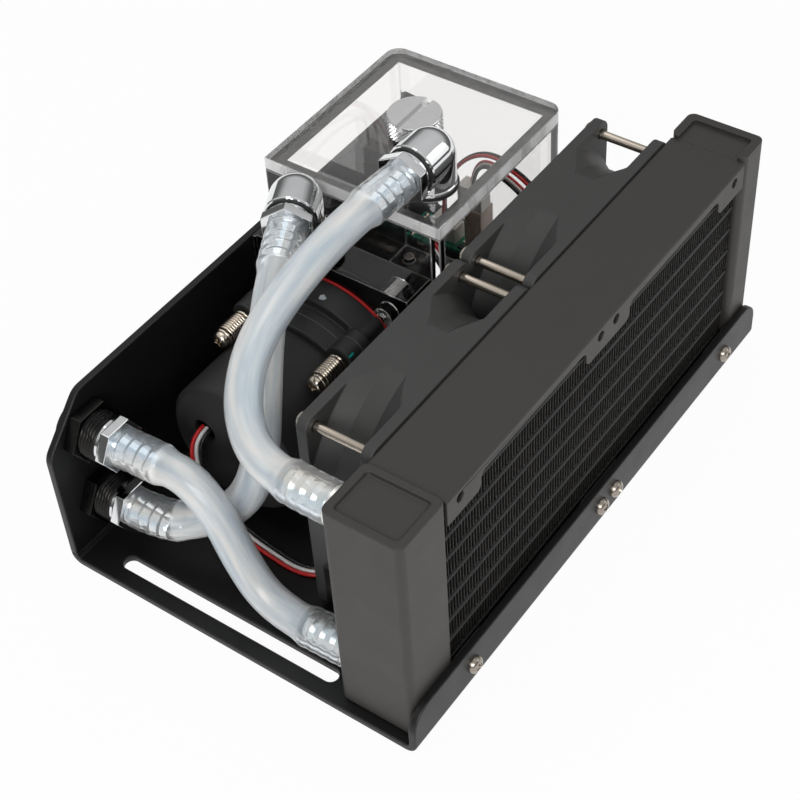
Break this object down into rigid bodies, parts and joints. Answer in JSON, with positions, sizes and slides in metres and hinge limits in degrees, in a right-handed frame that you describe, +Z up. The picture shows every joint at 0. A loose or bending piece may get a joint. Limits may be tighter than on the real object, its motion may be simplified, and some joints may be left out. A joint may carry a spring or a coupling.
{
  "type": "liquid cooling unit",
  "caption": "Bent-sheet tray carrying a fan-cooled radiator, a sprung cylindrical pump, a clear reservoir with elbows, soft hoses and bulkhead couplings.",
  "frame": {"origin": "middle of the tray's underside, measured without the hoses", "axes": "+X along the tray from the hose end to the control board, +Y from the radiator to the back wall, +Z up"},
  "size_m": [0.203, 0.1352, 0.1081],
  "materials": {
    "tray_black": "satin black powder coat",
    "radiator_black": "satin black paint",
    "core_black": "matt black paint",
    "fan_plastic": "fine grained black plastic",
    "nickel": "nickel plated",
    "bearing_bronze": "sintered",
    "pump_black": "matt black",
    "clamp_black": "moulded black plastic",
    "gasket_red": "red silicone",
    "clear_acrylic": "polished clear acrylic",
    "chrome": "polished chrome plate",
    "coupling_black": "black plated",
    "seal_black": "black rubber",
    "stator_iron": "wound iron core, as a plain ring",
    "inner_plastic": "moulded",
    "hose_silicone": "milky translucent silicone",
    "board_green": "green circuit board",
    "board_beige": "beige moulded block",
    "connector_white": "white nylon",
    "standoff_white": "white nylon",
    "wire_red": "red insulation",
    "wire_white": "white insulation",
    "wire_black": "black insulation"
  },
  "bodies": {
    "base": {"board_block": "board_beige", "board_connectors": "connector_white", "board_lead_black": "wire_black", "board_lead_red": "wire_red", "board_standoffs": "standoff_white", "bulkhead_barbs": "chrome", "bulkhead_lower": "coupling_black", "bulkhead_nuts": "coupling_black", "bulkhead_seals": "seal_black", "bulkhead_upper": "coupling_black", "control_board": "board_green", "elbow_seals": "seal_black", "fan_bearing_far": "bearing_bronze", "fan_bearing_near": "bearing_bronze", "fan_frame_far": "fan_plastic", "fan_frame_near": "fan_plastic", "fan_screws": "nickel", "hose_feed": "hose_silicone", "hose_return": "hose_silicone", "hose_supply": "hose_silicone", "insert_nuts": "nickel", "lid_barb": "chrome", "lid_elbow": "chrome", "lip_screws": "nickel", "outlet_barb": "chrome", "outlet_elbow": "chrome", "pump_can": "inner_plastic", "pump_flange": "clamp_black", "pump_gasket": "gasket_red", "pump_housing": "pump_black", "pump_lead_black": "wire_black", "pump_lead_red": "wire_red", "pump_lead_white": "wire_white", "pump_shaft": "nickel", "pump_springs": "nickel", "pump_stator": "stator_iron", "pump_top": "clear_acrylic", "radiator_barbs": "radiator_black", "radiator_bottom_plate": "radiator_black", "radiator_far_tank": "radiator_black", "radiator_fins": "core_black", "radiator_near_tank": "radiator_black", "radiator_top_plate": "radiator_black", "radiator_tubes": "core_black", "reservoir_lid": "clear_acrylic", "reservoir_tank": "clear_acrylic", "spring_screws": "nickel", "tank_screws": "nickel", "tray": "tray_black", "tray_wall": "tray_black"},
    "fan_near_rotor": {"fan_rotor_near": "fan_plastic", "fan_shaft_near": "nickel"},
    "fan_far_rotor": {"fan_rotor_far": "fan_plastic", "fan_shaft_far": "nickel"},
    "impeller": {"pump_impeller": "inner_plastic"},
    "plug_lift": {"plug_seal": "seal_black"},
    "plug": {"fill_plug": "chrome"}
  },
  "joints": [
    {"name": "fan_near_spin", "type": "hinge", "parent": "base", "child": "fan_near_rotor", "pos_m": [-0.03585, -0.02455, 0.0451], "axis": [0, 1, 0], "continuous": true},
    {"name": "fan_far_spin", "type": "hinge", "parent": "base", "child": "fan_far_rotor", "pos_m": [0.04415, -0.02455, 0.0451], "axis": [0, 1, 0], "continuous": true},
    {"name": "impeller_spin", "type": "hinge", "parent": "base", "child": "impeller", "pos_m": [-0.01, 0.03075, 0.03225], "axis": [1, 0, 0], "continuous": true},
    {"name": "plug_rise", "type": "slide", "parent": "base", "child": "plug_lift", "axis": [0, 0, 1], "range_m": [0, 0.0067]},
    {"name": "plug_turn", "type": "hinge", "parent": "plug_lift", "child": "plug", "pos_m": [0.0425, 0.03005, 0.0881], "axis": [0, 0, 1], "range_deg": [0, 1800]}
  ],
  "couplings": [
    {"joint": "plug_rise", "follows": "plug_turn", "m_per_rad": 0.00021279}
  ]
}
